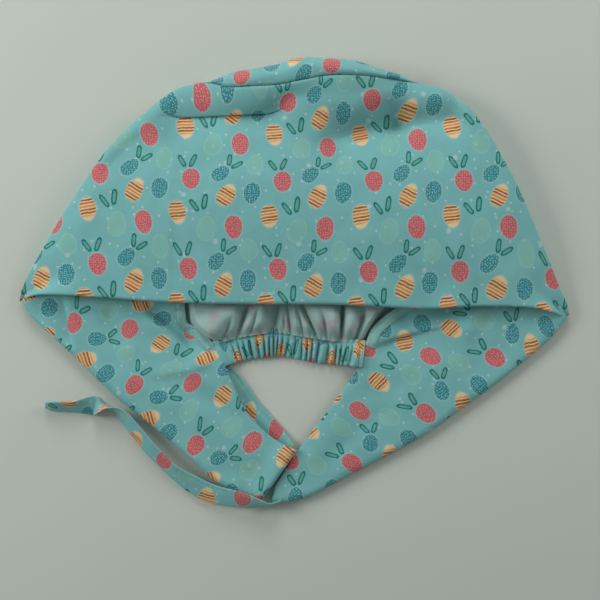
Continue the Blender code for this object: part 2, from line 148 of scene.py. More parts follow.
# The cloth is plain-woven cotton poplin with a small all-over spring print on a teal ground: dotted
# and striped eggs, pairs of pointed leaves and loose specks, repeated every five centimetres.
REPEAT = (50.0, 49.0)  # millimetres across and up the print
THREAD = 0.36  # millimetres from one thread of the weave to the next
GROUND = linear(121, 183, 184)
CORAL = linear(196, 100, 106)
PINK = linear(236, 170, 160)
CREAM = linear(230, 200, 154)
ORANGE = linear(208, 142, 84)
BROWN = linear(152, 90, 52)
POND = linear(60, 138, 146)
MIST = linear(158, 214, 216)
SAGE = linear(136, 192, 172)
LEAF = linear(30, 116, 108)
LEAF_LIGHT = linear(96, 168, 158)
SPECK = linear(180, 207, 210)
EGGS = (  # kind, across, up, tilt in degrees, half width, half height in mm, taper towards the top
    ("sage", 33.8, 10.8, 5, 4.8, 6.2, 0.12),
    ("sage", 9.5, -27.5, -5, 5.0, 6.8, 0.14),
    ("pond", 15.3, 4.2, -40, 3.9, 5.4, 0.10),
    ("pond", 33.2, -6.3, -8, 4.5, 6.1, -0.06),
    ("striped", 19.4, -8.4, -24, 4.5, 6.8, 0.14),
    ("striped", -6.5, -19.5, 192, 4.6, 6.4, 0.10),
    ("coral", 0.0, 0.0, 8, 4.8, 5.9, -0.10),
    ("coral", 24.4, -26.0, 10, 4.8, 6.4, -0.06),
)
LEAVES = (  # across, up, tilt in degrees, half width, half length in mm
    (-6.1, 10.0, 37, 1.35, 4.1),
    (0.0, 10.6, -17, 1.45, 4.0),
    (19.1, 13.0, -3, 1.40, 3.7),
    (23.6, 10.3, -57, 1.35, 3.7),
    (2.6, -15.3, 38, 1.35, 4.2),
    (8.1, -13.0, -5, 1.60, 4.5),
)
EGG_DOTS = (0.78, 0.6, 0.21, 0.09)  # dots a millimetre, looseness, radius, softness
SPECKS = (  # specks a millimetre, radius, softness, share that shows
    (0.15, 0.10, 0.03, 0.50),
    (0.062, 0.08, 0.03, 0.34),
)
INK_WANDER = 0.7  # millimetres, at the most


def motif_place(tree, place, across, up, tilt):
    """Millimetres from the nearest copy of a motif's middle, turned upright."""
    away = add_node(tree, "VectorMath", place, (across, up, 0), operation="SUBTRACT")
    half = (REPEAT[0] / 2, REPEAT[1] / 2, 1)
    low = (-half[0], -half[1], -1)
    near = add_node(tree, "VectorMath", away, half, low, operation="WRAP")
    turn = -float(np.radians(tilt))
    return add_node(tree, "VectorRotate", near, None, turn, rotation_type="Z_AXIS")


def step_down(tree, value, edge, soft=0.06):
    """1 where the value is under the edge, 0 where it is over."""
    return add_node(tree, "MapRange", value, edge - soft, edge + soft, 1.0, 0.0)


def over(tree, below, colour, amount):
    """A colour printed over what is below it."""
    return add_node(tree, "Mix", amount, below, colour, data_type="RGBA")


def maths(tree, a, b, operation="ADD"):
    """A sum of two values, or another reckoning with them."""
    return add_node(tree, "Math", a, b, operation=operation)


def round_dots(tree, place, scale, loose, radius, soft):
    """Scattered round dots, and a random number for each."""
    dots = tree.nodes.new("ShaderNodeTexVoronoi")
    dots.voronoi_dimensions = "2D"
    dots.inputs["Scale"].default_value = scale
    dots.inputs["Randomness"].default_value = loose
    tree.links.new(place, dots.inputs["Vector"])
    chance = add_node(tree, "SeparateColor", dots.outputs["Color"])
    return step_down(tree, dots.outputs["Distance"], radius, soft), chance


def striped_ink(tree, wide, y):
    """Wavy stripes in two browns on cream, which leave the egg's blunt end bare."""
    bend = add_node(tree, "Math", maths(tree, wide, 2.6, "MULTIPLY"), operation="SINE")
    phase = maths(tree, maths(tree, y, 23.0, "MULTIPLY"), maths(tree, bend, 0.8, "MULTIPLY"))
    band = add_node(tree, "Math", phase, operation="SINE")
    stripe = add_node(tree, "MapRange", band, -0.75, 0.05, 0.0, 1.0)
    bare = add_node(tree, "MapRange", y, 0.55, 0.68, 1.0, 0.0)
    slow = add_node(tree, "Math", maths(tree, y, 7.0, "MULTIPLY"), operation="SINE")
    deep = add_node(tree, "MapRange", slow, -0.6, 0.9, 0.0, 1.0)
    line = over(tree, ORANGE, BROWN, deep)
    return over(tree, CREAM, line, maths(tree, stripe, bare, "MULTIPLY"))


def egg(tree, place, dotted, below, row):
    """One egg of the repeat, printed over the colours below it."""
    kind, across, up, tilt, half_width, half_height, taper = row
    local = motif_place(tree, place, across, up, tilt)
    size = (half_width, half_height, 1)
    local = add_node(tree, "VectorMath", local, size, operation="DIVIDE")
    x = add_node(tree, "SeparateXYZ", local)
    y = add_node(tree, "SeparateXYZ", local, out=1)
    widen = add_node(tree, "Math", y, taper, 1.0, operation="MULTIPLY_ADD")
    wide = maths(tree, x, widen, "MULTIPLY")
    shape = add_node(tree, "CombineXYZ", wide, y, 0.0)
    away = add_node(tree, "VectorMath", shape, operation="LENGTH")
    inside = step_down(tree, away, 1.0, 0.05)
    if kind == "sage":
        rim = maths(tree, inside, step_down(tree, away, 0.9), "SUBTRACT")
        below = over(tree, below, SAGE, maths(tree, inside, 0.5, "MULTIPLY"))
        return over(tree, below, SPECK, maths(tree, rim, 0.22, "MULTIPLY"))
    halo = step_down(tree, away, 1.13, 0.06)
    below = over(tree, below, SPECK, maths(tree, halo, 0.32, "MULTIPLY"))
    if kind == "striped":
        ink = striped_ink(tree, wide, y)
    elif kind == "pond":
        ink = over(tree, POND, MIST, maths(tree, dotted, 0.9, "MULTIPLY"))
    else:
        ink = over(tree, CORAL, PINK, maths(tree, dotted, 0.8, "MULTIPLY"))
    return over(tree, below, ink, inside)


def leaf(tree, place, below, row):
    """One blunt-ended leaf with an inked outline and a paler middle."""
    across, up, tilt, half_width, half_length = row
    local = motif_place(tree, place, across, up, tilt)
    size = (half_width, half_length, 1)
    local = add_node(tree, "VectorMath", local, size, operation="DIVIDE")
    x = add_node(tree, "SeparateXYZ", local)
    y = maths(tree, add_node(tree, "SeparateXYZ", local, out=1), 4.0, "POWER")
    away = add_node(tree, "Math", x, x, y, operation="MULTIPLY_ADD")
    below = over(tree, below, LEAF, step_down(tree, away, 1.0, 0.15))
    return over(tree, below, LEAF_LIGHT, step_down(tree, away, 0.26, 0.12))


def print_group():
    """The print as a node group, from the place on the flat cloth in metres to its colour."""
    tree = bpy.data.node_groups.new("spring_print", "ShaderNodeTree")
    tree.interface.new_socket("Place", in_out="INPUT", socket_type="NodeSocketVector")
    tree.interface.new_socket("Colour", in_out="OUTPUT", socket_type="NodeSocketColor")
    given = tree.nodes.new("NodeGroupInput").outputs["Place"]
    result = tree.nodes.new("NodeGroupOutput").inputs["Colour"]
    place = add_node(tree, "VectorMath", given, 1000.0, operation="SCALE")

    # Ink edges wander by a few tenths of a millimetre, as printed ones do
    wander = add_node(tree, "TexNoise", place, 0.9, 2.0, 0.5, out=1)
    wander = add_node(tree, "VectorMath", wander, (0.5, 0.5, 0.5), operation="SUBTRACT")
    wander = add_node(tree, "VectorMath", wander, INK_WANDER, operation="SCALE")
    place = add_node(tree, "VectorMath", place, wander, operation="ADD")

    colour = GROUND
    for scale, radius, soft, share in SPECKS:
        speck, chance = round_dots(tree, place, scale, 1.0, radius, soft)
        chosen = maths(tree, chance, 1 - share, "GREATER_THAN")
        speck = maths(tree, speck, chosen, "MULTIPLY")
        colour = over(tree, colour, SPECK, maths(tree, speck, 0.75, "MULTIPLY"))
    dotted = round_dots(tree, place, *EGG_DOTS)[0]
    for row in EGGS:
        colour = egg(tree, place, dotted, colour, row)
    for row in LEAVES:
        colour = leaf(tree, place, colour, row)
    tree.links.new(colour, result)
    return tree


def weave_bump(tree, place, strength):
    """Bump of the plain weave, over slubs and the soft unevenness of washed cotton."""
    threads = add_node(tree, "VectorMath", place, 1000 * np.pi / THREAD, operation="SCALE")
    warp = add_node(tree, "Math", add_node(tree, "SeparateXYZ", threads), operation="SINE")
    weft = add_node(tree, "Math", add_node(tree, "SeparateXYZ", threads, out=1), operation="SINE")
    weave = maths(tree, warp, weft, "MULTIPLY")
    slubs = add_node(tree, "TexNoise", place, 900.0, 3.0, 0.6)
    first = add_node(tree, "Bump", strength, 0.00008, 1.0, weave)
    return add_node(tree, "Bump", 0.35, 0.00025, 1.0, slubs, first)


SPRING_PRINT = print_group()


def poplin(name, faded=0.0):
    """The cloth's printed side, or with faded near 1 its paler wrong side."""
    material, tree, shader = new_material(name, 0.86, 0.18)
    place = add_node(tree, "UVMap", uv_map="cloth")
    group = tree.nodes.new("ShaderNodeGroup")
    group.node_tree = SPRING_PRINT
    tree.links.new(place, group.inputs["Place"])
    colour = group.outputs["Colour"]
    if faded:
        # From the back the print is only a haze of soft pink and dull teal spots
        spread = add_node(tree, "VectorMath", place, 1000.0, operation="SCALE")
        blush = round_dots(tree, spread, 0.044, 0.8, 0.15, 0.10)[0]
        colour = over(tree, colour, linear(160, 188, 185), faded)
        colour = over(tree, colour, linear(176, 132, 134), maths(tree, blush, 0.45, "MULTIPLY"))
    worn = add_node(tree, "TexNoise", place, 60.0, 4.0, 0.6)
    shade = add_node(tree, "MapRange", worn, 0.3, 0.7, 0.93, 1.05)
    bright = add_node(tree, "HueSaturation", 0.5, 1.0, shade, 1.0, colour)
    tree.links.new(bright, shader.inputs["Base Color"])
    tree.links.new(weave_bump(tree, place, 0.35), shader.inputs["Normal"])
    return material


PRINTED = poplin("printed_poplin")
WRONG_SIDE = poplin("poplin_wrong_side", 0.90)

# The front panel is the front and top of the crown, cut in one piece. Its lower edge is turned in as
# a hem, its sides are folded under at the tips' outline, and its upper edge is sewn to the back panel.
FRONT_WIDTH = 0.300
CROWN_RISE = 0.133
TIE_DROP = 0.113
PUFF = 0.0186
EDGE_LIFT = 0.0150
SEAM_HEIGHT = 0.0215
POPLIN = 0.00036  # thickness of the cloth
TABLE_GAP = 0.0003  # from the table to the middle of a sheet that lies on it
FRONT_LINE = cad_high[1] - CROWN_RISE - 0.0005  # the front edge's line, up the picture
LEFT_FOLD = (  # across, along, share of the seam's height
    (-1.010, -0.005, 0.20),
    (-0.998, 0.050, 0.22),
    (-0.963, 0.130, 0.28),
    (-0.875, 0.300, 0.40),
    (-0.783, 0.460, 0.46),
    (-0.697, 0.600, 0.48),
    (-0.603, 0.715, 0.48),
    (-0.512, 0.803, 0.46),
    (-0.430, 0.868, 0.44),
    (-0.350, 0.893, 0.44),
)
RIGHT_FOLD = (  # the same columns
    (0.470, 0.890, 0.44),
    (0.538, 0.868, 0.44),
    (0.607, 0.817, 0.46),
    (0.652, 0.772, 0.48),
    (0.732, 0.640, 0.48),
    (0.820, 0.455, 0.46),
    (0.900, 0.248, 0.38),
    (0.968, 0.062, 0.26),
    (0.998, -0.015, 0.22),
    (1.007, -0.075, 0.20),
)
CROWN_SEAM = (  # the same columns
    (-0.330, 0.893, 0.44),
    (-0.295, 0.889, 0.52),
    (-0.240, 0.872, 0.80),
    (-0.141, 0.872, 1.00),
    (-0.060, 0.878, 1.00),
    (0.020, 0.895, 1.00),
    (0.130, 0.916, 1.00),
    (0.248, 0.916, 0.95),
    (0.347, 0.904, 0.80),
    (0.405, 0.897, 0.55),
    (0.450, 0.892, 0.46),
)
FRONT_EDGE = (  # across, along
    (-1.002, 0.000),
    (-0.950, 0.020),
    (-0.860, 0.022),
    (-0.677, 0.009),
    (-0.530, -0.005),
    (-0.400, -0.013),
    (-0.273, -0.018),
    (0.020, -0.020),
    (0.200, -0.024),
    (0.370, -0.036),
    (0.490, -0.042),
    (0.669, -0.029),
    (0.850, -0.034),
    (0.940, -0.058),
    (0.997, -0.090),
)
FRONT_SECTIONS = (  # across, share of the edge's lift, share of the puff
    (-1.00, 0.22, 0.12),
    (-0.95, 0.60, 0.28),
    (-0.88, 0.76, 0.42),
    (-0.75, 0.84, 0.64),
    (-0.50, 0.92, 0.88),
    (-0.25, 0.97, 0.99),
    (0.00, 1.00, 1.00),
    (0.25, 0.97, 1.00),
    (0.50, 0.88, 0.92),
    (0.75, 0.82, 0.70),
    (0.90, 0.74, 0.44),
    (0.96, 0.56, 0.26),
    (1.00, 0.22, 0.12),
)
PEAK_AT = 0.40
HEM_DEPTH = 0.020
HEM_GAP = 0.0016  # from the panel down to its turned-in hem
FRONT_FOLDS = (  # from x, from y, to x, to y, bow, rise, breadth below, breadth above; millimetres
    (-90, 64, 96, 70, 16, -3.4, 22, 20),
    (-72, 88, -8, 92, 0, -1.4, 12, 5),
    (-30, 92, 12, 116, -2, -2.4, 8, 4),
    (10, 74, 62, 87, 3, -2.4, 16, 6),
    (56, 87, 96, 88, 3, -1.6, 12, 5),
    (36, 99, 24, 76, 0, 1.8, 6, 5),
    (-120, 22, -98, 62, 3, 0.7, 7, 7),
    (118, 16, 96, 66, -3, 0.8, 8, 8),
    (-70, -2, -62, 40, 2, -0.8, 8, 8),
    (-69, -9, -68, 62, 0, 0.5, 2, 3),
    (10, -6, 22, 34, 2, -0.6, 9, 9),
    (80, -8, 66, 30, -2, -0.7, 9, 9),
    (-20, 55, 30, 62, 3, 0.6, 14, 14),
    (-110, 62, -62, 82, 2, -2.0, 12, 11),
)
TUCKS = (  # from x, from y, to x, to y, overhang, depth, roundness, how far down it fades out; mm
    (-74, 92.0, -2, 95.0, 3.6, 7.0, 21, 9),
    (17, 78.0, 66, 88.5, 0, 7.0, 20, 9),
    (48, 84.5, 94, 90.0, 0, 5.4, 17, 7),
)
FRONT_PRINT = (-6.5, 55.4)  # where the print's first egg sits on the panel, in millimetres
FRONT_CREEP = (  # x, y, how far to the right, how far up; millimetres
    (-57, 58, 0.4, 1.2),
    (-83, 35, 0.4, 4.5),
    (-65, 40, -1.2, 2.4),
    (-108, 11, -1.2, 4.1),
    (-58, 9, -1.2, 1.2),
    (-110, 50, 0.0, 4.8),
    (-79, 83, 3.0, 4.1),
    (-60, 86, 3.0, 0.0),
    (-50, 103, 5.9, 1.2),
    (-30, 78, 2.2, -1.6),
    (-2, 98, 4.1, -6.1),
    (-32, 91, 4.9, -3.9),
    (-12, 82, 1.6, -4.5),
    (-139, 4, -2.4, 4.7),
    (-88, 2, 0.0, 3.0),
    (-9, 8, -2.4, 0.8),
    (-7, 56, 0.0, 0.0),
    (42, 102, -1.6, -4.1),
    (14, 91, 1.2, -6.3),
    (37, 82, -0.6, -3.9),
    (68, 80, 0.0, 0.8),
    (64, 95, 0.4, -1.6),
    (87, 86, 0.0, 0.6),
    (44, 57, 0.0, 0.2),
    (93, 57, -1.2, 0.0),
    (67, 31, -1.2, 0.8),
    (118, 32, -0.6, 1.2),
    (41, 7, -3.0, -0.8),
    (91, 7, -3.2, -0.6),
    (141, 3, -0.4, -4.5),
)


def ramp(share):
    """0 up to share 0, 1 from share 1 on, and smooth between."""
    share = np.clip(share, 0, 1)
    return share * share * (3 - 2 * share)


def plan(table):
    """Rows of shares as points in the plan, in metres; further columns stay as they are."""
    rows = np.array(table, float)
    rows[:, 0] *= FRONT_WIDTH / 2
    rows[:, 1] = rows[:, 1] * np.where(rows[:, 1] > 0, CROWN_RISE, TIE_DROP) + FRONT_LINE
    return rows


def smooth_line(knots, steps=16):
    """Points close together on a smooth curve through the knots."""
    ends = np.vstack([2 * knots[0] - knots[1], knots, 2 * knots[-1] - knots[-2]])
    p0, p1, p2, p3 = (ends[k : k + len(knots) - 1, None] for k in range(4))
    t = np.linspace(0, 1, steps, endpoint=False)[None, :, None]
    bend = 2 * p0 - 5 * p1 + 4 * p2 - p3 + t * (3 * (p1 - p2) + p3 - p0)
    spans = p1 + 0.5 * t * (p2 - p0 + t * bend)
    return np.vstack([spans.reshape(-1, knots.shape[1]), knots[-1]])


def walked(points):
    """Distance along a line of points, from its start to each point."""
    steps = np.linalg.norm(np.diff(points, axis=0), axis=-1)
    return np.concatenate([np.zeros((1, *steps.shape[1:])), np.cumsum(steps, axis=0)])


def trace(knots, count):
    """Points evenly spaced along a smooth curve through the knots."""
    fine = smooth_line(knots)
    far = walked(fine[:, :2])
    wanted = np.linspace(0, far[-1], count)
    return np.column_stack([np.interp(wanted, far, column) for column in fine.T])


def read_off(table, at):
    """The further columns of a table, at places along its first column, on smooth curves."""
    fine = smooth_line(np.array(table, float))
    return [np.interp(at, fine[:, 0], column) for column in fine.T[1:]]


def patch(start, end, first, last, shares):
    """Grid between four borders: start and end run along it, first and last across it."""
    v = np.asarray(shares)[None, :, None]
    u = np.linspace(0, 1, len(start))[:, None, None]
    along = (1 - v) * start[:, None] + v * end[:, None]
    across = (1 - u) * first[None] + u * last[None]
    corners = (1 - u) * ((1 - v) * first[0] + v * first[-1])
    return along + across - corners - u * ((1 - v) * last[0] + v * last[-1])


def straight(a, b, shares):
    """Points on the line from a to b."""
    return a + (b - a) * np.asarray(shares)[:, None]


def beside_line(points, x0, y0, x1, y1, bow=0.0):
    """Share along a bowed line, and distance to its left, of each point of the plan."""
    a, b = np.array([x0, y0]) * MM, np.array([x1, y1]) * MM
    length = np.linalg.norm(b - a)
    run = (b - a) / length
    away = points[..., :2] - a
    share = away @ run / length
    side = run[0] * away[..., 1] - run[1] * away[..., 0]
    inside = np.clip(share, 0, 1)
    return share, side - bow * MM * 4 * inside * (1 - inside)


def soft_folds(points, table):
    """Height that a table of soft folds adds at each point of the plan."""
    height = np.zeros(points.shape[:-1])
    for x0, y0, x1, y1, bow, rise, below, above in table:
        share, side = beside_line(points, x0, y0, x1, y1, bow)
        breadth = np.where(side < 0, below, above) * MM
        fade = ramp((share + 0.15) / 0.4) * ramp((1.15 - share) / 0.4)
        height += rise * MM * np.exp(-((side / breadth) ** 2)) * fade
    return height


def uneven(points, wavelength, seed):
    """Soft random unevenness between about -1 and 1: a few waves that cross each other."""
    chance = np.random.default_rng(seed)
    height = np.zeros(points.shape[:-1])
    for _ in range(9):
        angle, phase = chance.uniform(0, np.pi), chance.uniform(0, 2 * np.pi)
        pitch = 2 * np.pi / (wavelength * chance.uniform(0.7, 1.5))
        way = np.array([np.cos(angle), np.sin(angle)]) * pitch
        height += np.sin(points[..., :2] @ way + phase)
    return height / 4.5


def tucked(grid, table, free):
    """A grid let down below lines of the plan, over some of which the cloth hangs as a rounded fold."""
    grid = grid.copy()
    for x0, y0, x1, y1, overhang, depth, roundness, fades in table:
        share, side = beside_line(grid, x0, y0, x1, y1)
        ends = ramp((share + 0.05) / 0.25) * ramp((1.05 - share) / 0.25)
        up = 1 - np.exp(np.minimum(side, 0) / (fades * MM))
        if overhang:
            run = np.array([x1 - x0, y1 - y0]) / np.hypot(x1 - x0, y1 - y0)
            near = 1 - ramp((side - 0.6 * roundness * MM) / (roundness * MM))
            shift = ramp(side / (overhang * MM)) * near * ends * free * overhang * MM * 1.25
            grid[..., :2] += shift[..., None] * np.array([run[1], -run[0]])
            above = np.sin(np.pi / 2 * np.clip(side / (roundness * MM), 0, 1))
        else:
            above = ramp(side / (roundness * MM))
        grid[..., 2] -= (1 - np.where(side < 0, up, above)) * ends * free * depth * MM
    return grid


def rounded_edge(away, radius, drop):
    """How far a sheet has come down near its edge, where it turns under."""
    near = np.clip(1 - away / radius, 0, 1)
    return drop * (1 - np.sqrt(1 - near**2 + 1e-9))


def let_out(grid, middle, pitch=0.002):
    """Places on the flat cloth: the plan, let out where the sheet is steep, from a middle point."""
    faces = grid_faces(*grid.shape[:2])
    tree = BVHTree.FromPolygons(grid.reshape(-1, 3).tolist(), faces)
    low, high = grid[..., :2].min(axis=(0, 1)), grid[..., :2].max(axis=(0, 1))
    xs = np.arange(low[0], high[0] + pitch, pitch)
    ys = np.arange(low[1], high[1] + pitch, pitch)
    heights = np.full((len(xs), len(ys)), np.nan)
    for i, x in enumerate(xs):
        for j, y in enumerate(ys):
            hit = tree.ray_cast(Vector((x, y, 1)), Vector((0, 0, -1)))[0]
            if hit is not None:
                heights[i, j] = hit.z
    places = []
    for axis, coordinates in ((0, xs), (1, ys)):
        slope = np.nan_to_num(np.diff(heights, axis=axis)) / pitch
        extra = (np.sqrt(1 + slope**2) - 1) * pitch
        start = np.zeros_like(np.take(heights, [0], axis=axis))
        total = np.concatenate([start, np.cumsum(extra, axis=axis)], axis=axis)
        home = int(np.argmin(abs(coordinates - middle[axis])))
        places.append(total - np.take(total, [home], axis=axis))
    i = np.clip((grid[..., 0] - low[0]) / pitch, 0, len(xs) - 1.001)
    j = np.clip((grid[..., 1] - low[1]) / pitch, 0, len(ys) - 1.001)
    i0, j0 = i.astype(int), j.astype(int)
    di, dj = i - i0, j - j0
    flat = []
    for axis, extra in enumerate(places):
        value = extra[i0, j0] * (1 - di) * (1 - dj) + extra[i0 + 1, j0] * di * (1 - dj)
        value += extra[i0, j0 + 1] * (1 - di) * dj + extra[i0 + 1, j0 + 1] * di * dj
        flat.append(grid[..., axis] + value)
    return np.stack(flat, axis=-1)


def grid_faces(columns, rows, round_it=False):
    """Quads of a grid of points, closed round its rows where it is a tube."""
    index = np.arange(columns * rows).reshape(columns, rows)
    if round_it:
        index = np.hstack([index, index[:, :1]])
    corners = (index[:-1, :-1], index[1:, :-1], index[1:, 1:], index[:-1, 1:])
    return np.stack(corners, axis=-1).reshape(-1, 4).tolist()


def sew(name, grid, flat, outer, inner, round_it=False):
    """A cloth piece: a grid of points, its places on the flat cloth, and its two sides' materials."""
    columns, rows = grid.shape[:2]
    mesh = bpy.data.meshes.new(name)
    faces = grid_faces(columns, rows, round_it)
    mesh.from_pydata(grid.reshape(-1, 3).tolist(), [], faces)
    places = flat.reshape(-1, 2)
    corners = np.array(faces).ravel()
    layer = mesh.uv_layers.new(name="cloth")
    layer.data.foreach_set("uv", places[corners].astype(np.float32).ravel())
    mesh.materials.append(outer)
    mesh.materials.append(inner)
    mesh.shade_smooth()
    piece = bpy.data.objects.new(name, mesh)
    bpy.context.scene.collection.objects.link(piece)
    if not round_it:
        wall = piece.modifiers.new("poplin", "SOLIDIFY")
        wall.thickness = POPLIN
        wall.offset = 0
        wall.material_offset = 1
    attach(piece, "root")
    return piece


def crept(grid, table):
    """How far folds and wear have moved the print from where even cloth would show it."""
    total, moved = np.full(grid.shape[:2], 0.05), np.zeros((*grid.shape[:2], 2))
    for x, y, right, up in table:
        near = np.exp(-(((grid[..., 0] / MM - x) ** 2 + (grid[..., 1] / MM - y) ** 2) / 17**2))
        total += near
        moved += near[..., None] * np.array([right, up])
    return moved / total[..., None] * MM


def print_at(grid, flat, anchor, degrees=0.0):
    """Flat places moved so that the print's first egg sits at a point of the plan, turned."""
    away = np.linalg.norm(grid[..., :2] - np.array(anchor) * MM, axis=-1)
    home = flat.reshape(-1, 2)[int(away.argmin())]
    turn = np.radians(degrees)
    spin = np.array([[np.cos(turn), -np.sin(turn)], [np.sin(turn), np.cos(turn)]])
    return (flat - home) @ spin


def front_shape(columns, shares):
    """The front panel before its hem: points, and how high each column's upper border is."""
    top = trace(plan([*LEFT_FOLD, *CROWN_SEAM, *RIGHT_FOLD]), columns)
    front = trace(plan(FRONT_EDGE), columns)
    grid = patch(
        front,
        top[:, :2],
        straight(front[0], top[0, :2], shares),
        straight(front[-1], top[-1, :2], shares),
        shares,
    )
    edge, crown = read_off(FRONT_SECTIONS, np.linspace(-1, 1, columns))
    edge, crown = edge[:, None] * EDGE_LIFT, crown[:, None] * PUFF
    seam = top[:, 2:] * SEAM_HEIGHT
    rise = ramp(shares / PEAK_AT)
    fallen = np.clip((shares - PEAK_AT) / (1 - PEAK_AT), 0, 1)
    steep = 0.5 + 0.35 * ramp((top[:, 2:] - 0.5) / 0.3)
    before = edge + (crown - edge) * rise
    after = seam + (crown - seam) * (1 - fallen**3.2) ** steep
    height = np.where(shares < PEAK_AT, before, after)
    long = np.linalg.norm(top[:, :2] - front[:, :2], axis=1)[:, None]
    inside = ramp((1 - shares) * long / (10 * MM))
    # Soft folds, and slack in waves of some 45 and 14 millimetres
    extra = soft_folds(grid, FRONT_FOLDS)
    extra += 0.50 * MM * uneven(grid, 0.045, 3) + 0.14 * MM * uneven(grid, 0.014, 4)
    height += extra * inside
    return np.dstack([grid, np.maximum(height, 2 * TABLE_GAP)]), top


def front_panel():
    """The puffed panel with its tucks, and the hem that runs back up inside it."""
    columns = 238
    shares = 1 - (1 - np.linspace(0, 1, 160)) ** 1.35
    grid, top = front_shape(columns, shares)
    flat = let_out(grid, (0, 20 * MM)) - crept(grid, FRONT_CREEP)
    flat = print_at(grid, flat, FRONT_PRINT)
    to_seam = walked(grid[:, ::-1].transpose(1, 0, 2)).T[:, ::-1]
    sewn = ramp((top[:, 2:] - 0.5) / 0.25)
    grid[..., 2] -= rounded_edge(to_seam, 1.5 * MM, 1.4 * MM) * sewn
    to_edge = walked(grid.transpose(1, 0, 2)).T
    grid[..., 2] -= rounded_edge(to_edge, HEM_GAP, HEM_GAP / 2)
    grid = tucked(grid, TUCKS, ramp(to_seam / (7 * MM)))
    inner = to_edge < HEM_DEPTH
    count = int(inner.all(axis=0).sum())
    hem = grid[:, 1:count].copy()
    hem[..., 2] -= HEM_GAP - 2 * rounded_edge(to_edge[:, 1:count], HEM_GAP, HEM_GAP / 2)
    hem_flat = 2 * flat[:, :1] - flat[:, 1:count]
    grid = np.concatenate([hem[:, ::-1], grid], axis=1)
    flat = np.concatenate([hem_flat[:, ::-1], flat], axis=1)
    piece = sew("front_panel_cloth", grid, flat, PRINTED, WRONG_SIDE)
    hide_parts("front_panel")


front_panel()

# The back panel goes from the crown seam over the top, and along the table inside the cap to the
# nape, where the elastic gathers it. Above the seam its printed side shows, inside the wrong side.
CROWN_TURN = 0.0065  # how far the roll reaches out over its turn
GATHER_HEIGHT = 0.0112
PLEATS = 26
CROWN_TOP = (  # across, along
    (-0.336, 0.897),
    (-0.300, 0.905),
    (-0.266, 0.918),
    (-0.212, 0.940),
    (-0.137, 0.952),
    (-0.062, 0.968),
    (0.020, 0.996),
    (0.094, 0.994),
    (0.167, 0.990),
    (0.240, 0.976),
    (0.313, 0.949),
    (0.387, 0.926),
    (0.425, 0.908),
    (0.458, 0.896),
)
LEFT_INNER = (  # across, along: underside seam down to the casing, then the nape opening's edge
    (-0.335, 0.888),
    (-0.398, 0.710),
    (-0.435, 0.463),
    (-0.435, 0.215),
    (-0.413, 0.008),
    (-0.383, -0.126),
    (-0.300, -0.220),
    (-0.262, -0.300),
    (-0.235, -0.383),
    (-0.178, -0.544),
    (-0.123, -0.626),
    (-0.068, -0.684),
    (0.009, -0.733),
)
RIGHT_INNER = (  # across, along
    (0.465, 0.880),
    (0.560, 0.669),
    (0.570, 0.421),
    (0.490, 0.174),
    (0.369, -0.010),
    (0.295, -0.126),
    (0.262, -0.218),
    (0.229, -0.340),
    (0.167, -0.456),
    (0.101, -0.578),
    (0.020, -0.723),
    (-0.042, -0.845),
    (-0.078, -0.925),
)
INNER_AT_CASING = 6
CASING_LINE = (  # across, along
    (-0.220, -0.190),
    (-0.150, -0.172),
    (-0.080, -0.160),
    (-0.037, -0.164),
    (0.005, -0.174),
    (0.070, -0.188),
    (0.135, -0.200),
    (0.190, -0.206),
)
GATHER_VALLEYS = (  # from x, from y, to x, to y, breadth, depth as a share; millimetres
    (-41.0, -32.5, -37.0, -24.0, 1.2, 0.50),
    (-32.6, -31.5, -27.0, -15.0, 1.8, 0.88),
    (-25.5, -30.0, -22.0, -20.0, 0.9, 0.45),
    (-12.8, -29.0, -9.0, -10.5, 3.8, 1.00),
    (-6.0, -28.0, -5.6, -20.0, 0.9, 0.50),
    (-1.8, -29.6, -3.6, -13.0, 1.3, 0.74),
    (5.4, -30.5, 2.8, -19.0, 1.0, 0.50),
    (13.4, -32.2, 5.2, -13.3, 1.4, 0.76),
    (18.5, -32.0, 16.5, -22.0, 1.0, 0.45),
    (25.5, -33.0, 26.6, -10.5, 1.1, 0.97),
    (33.0, -33.5, 37.0, -20.0, 1.6, 0.80),
)


def side_of_back(inner, count):
    """The back panel's side border, close beside the side band's inner line."""
    seam = trace(plan(inner)[: INNER_AT_CASING + 1], count)
    seam[:, 0] -= np.sign(seam[:, 0]) * 0.4 * MM
    return seam


def casing_line(count):
    """The stitching between back panel and casing, from side to side."""
    left, right = side_of_back(LEFT_INNER, 9)[-1], side_of_back(RIGHT_INNER, 9)[-1]
    return trace(np.vstack([left, plan(CASING_LINE), right]), count)


def pleat_ridges(share, sharp=0.75):
    """1 on the ridges of the casing's uneven pleats and 0 in the valleys between them."""
    phase = PLEATS * share + 0.34 * np.sin(11.3 * share + 0.8) + 0.22 * np.sin(29.1 * share)
    size = 0.78 + 0.22 * np.sin(17.7 * share + 1.1)
    return np.abs(np.sin(np.pi * phase)) ** sharp * size


def gathered(points, to_casing, share):
    """Height of the billows between the valleys that the elastic draws into the back panel."""
    tall = GATHER_HEIGHT * (0.62 + 0.38 * np.sin(np.pi * np.clip(to_casing / (22 * MM), 0, 1)))
    tall *= 1 - ramp((to_casing - 18 * MM) / (45 * MM))
    left = np.ones_like(to_casing)
    for x0, y0, x1, y1, breadth, deep in GATHER_VALLEYS:
        along, side = beside_line(points, x0, y0, x1, y1)
        wide = breadth * MM * (1 + 0.9 * np.clip(along, 0, 2))
        fades = ramp((2.1 - along) / 1.2)
        left *= 1 - deep * np.exp(-(np.abs(side / wide) ** 1.25)) * fades
    small = 1.3 * MM * pleat_ridges(share) * np.exp(-to_casing / (3.5 * MM))
    near = 1 - 0.62 * np.exp(-((to_casing / (4.5 * MM)) ** 2))
    edges = ramp(np.minimum(share, 1 - share) / 0.05)
    return (tall * left * near + small) * edges


